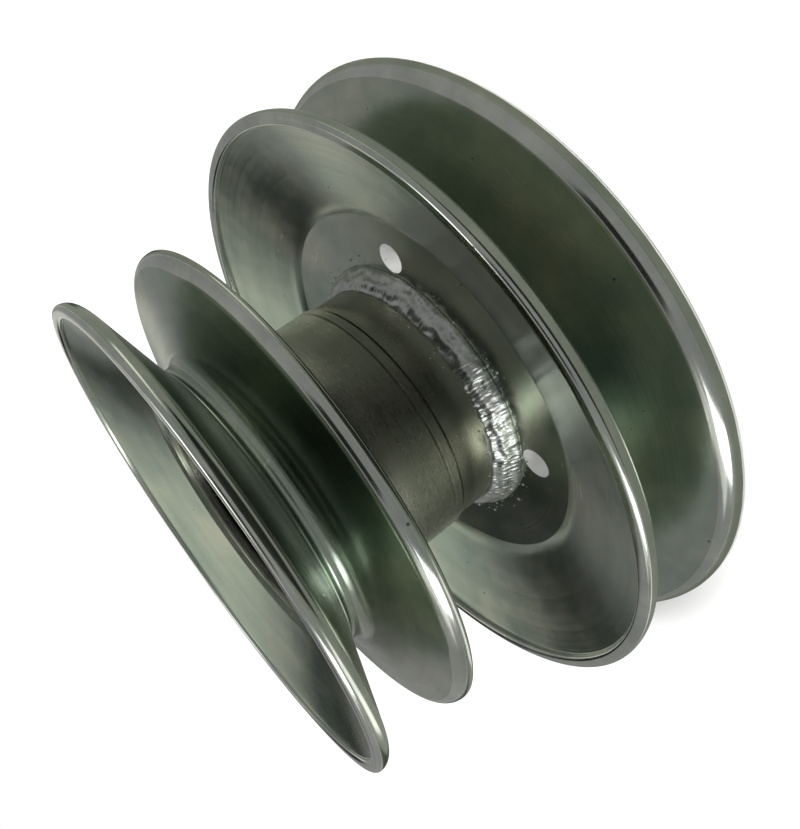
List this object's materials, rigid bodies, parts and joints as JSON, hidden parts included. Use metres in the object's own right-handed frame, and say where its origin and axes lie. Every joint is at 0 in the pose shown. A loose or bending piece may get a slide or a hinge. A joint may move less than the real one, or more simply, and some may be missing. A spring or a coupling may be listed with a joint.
{
  "type": "double v belt idler pulley",
  "caption": "Two-step V belt pulley of pressed, zinc-plated sheave halves welded to a hub tube that runs on ball bearings.",
  "frame": {"origin": "on the shaft axis, in the plane of the large pulley's outer rim edge", "axes": "+Z along the shaft axis from the large pulley to the small pulley; X and Y are radial"},
  "size_m": [0.15, 0.15, 0.0809],
  "materials": {
    "zinc_sheet": "satin",
    "turned_tube": "satin",
    "weld_metal": "gloss",
    "bearing_steel": "gloss",
    "brass_cage": "satin",
    "seal_rubber": "matt",
    "spring_steel": "satin"
  },
  "bodies": {
    "pulley": {"large_lower_sheave": "zinc_sheet", "large_upper_sheave": "zinc_sheet", "small_lower_sheave": "zinc_sheet", "small_upper_sheave": "zinc_sheet", "large_hub_tube": "turned_tube", "small_hub_tube": "turned_tube", "large_upper_weld": "weld_metal", "large_lower_weld": "weld_metal", "small_lower_weld": "weld_metal", "lower_outer_race": "bearing_steel", "lower_seal_bottom": "seal_rubber", "lower_seal_top": "seal_rubber", "lower_circlip": "spring_steel", "upper_outer_race": "bearing_steel", "upper_seal_bottom": "seal_rubber", "upper_seal_top": "seal_rubber", "upper_circlip": "spring_steel"},
    "bearing_core": {"lower_inner_race": "bearing_steel", "upper_inner_race": "bearing_steel", "spacer_sleeve": "turned_tube"},
    "lower_ball_train": {"lower_balls": "bearing_steel", "lower_cage": "brass_cage"},
    "upper_ball_train": {"upper_balls": "bearing_steel", "upper_cage": "brass_cage"}
  },
  "joints": [
    {"name": "core_spin", "type": "hinge", "parent": "pulley", "child": "bearing_core", "pos_m": [0, 0, 0.037], "axis": [0, 0, 1], "continuous": true},
    {"name": "lower_train_spin", "type": "hinge", "parent": "pulley", "child": "lower_ball_train", "pos_m": [0, 0, 0.0135], "axis": [0, 0, 1], "continuous": true},
    {"name": "upper_train_spin", "type": "hinge", "parent": "pulley", "child": "upper_ball_train", "pos_m": [0, 0, 0.0605], "axis": [0, 0, 1], "continuous": true}
  ],
  "couplings": [
    {"joint": "lower_train_spin", "follows": "core_spin", "ratio": 0.3982},
    {"joint": "upper_train_spin", "follows": "core_spin", "ratio": 0.3982}
  ]
}
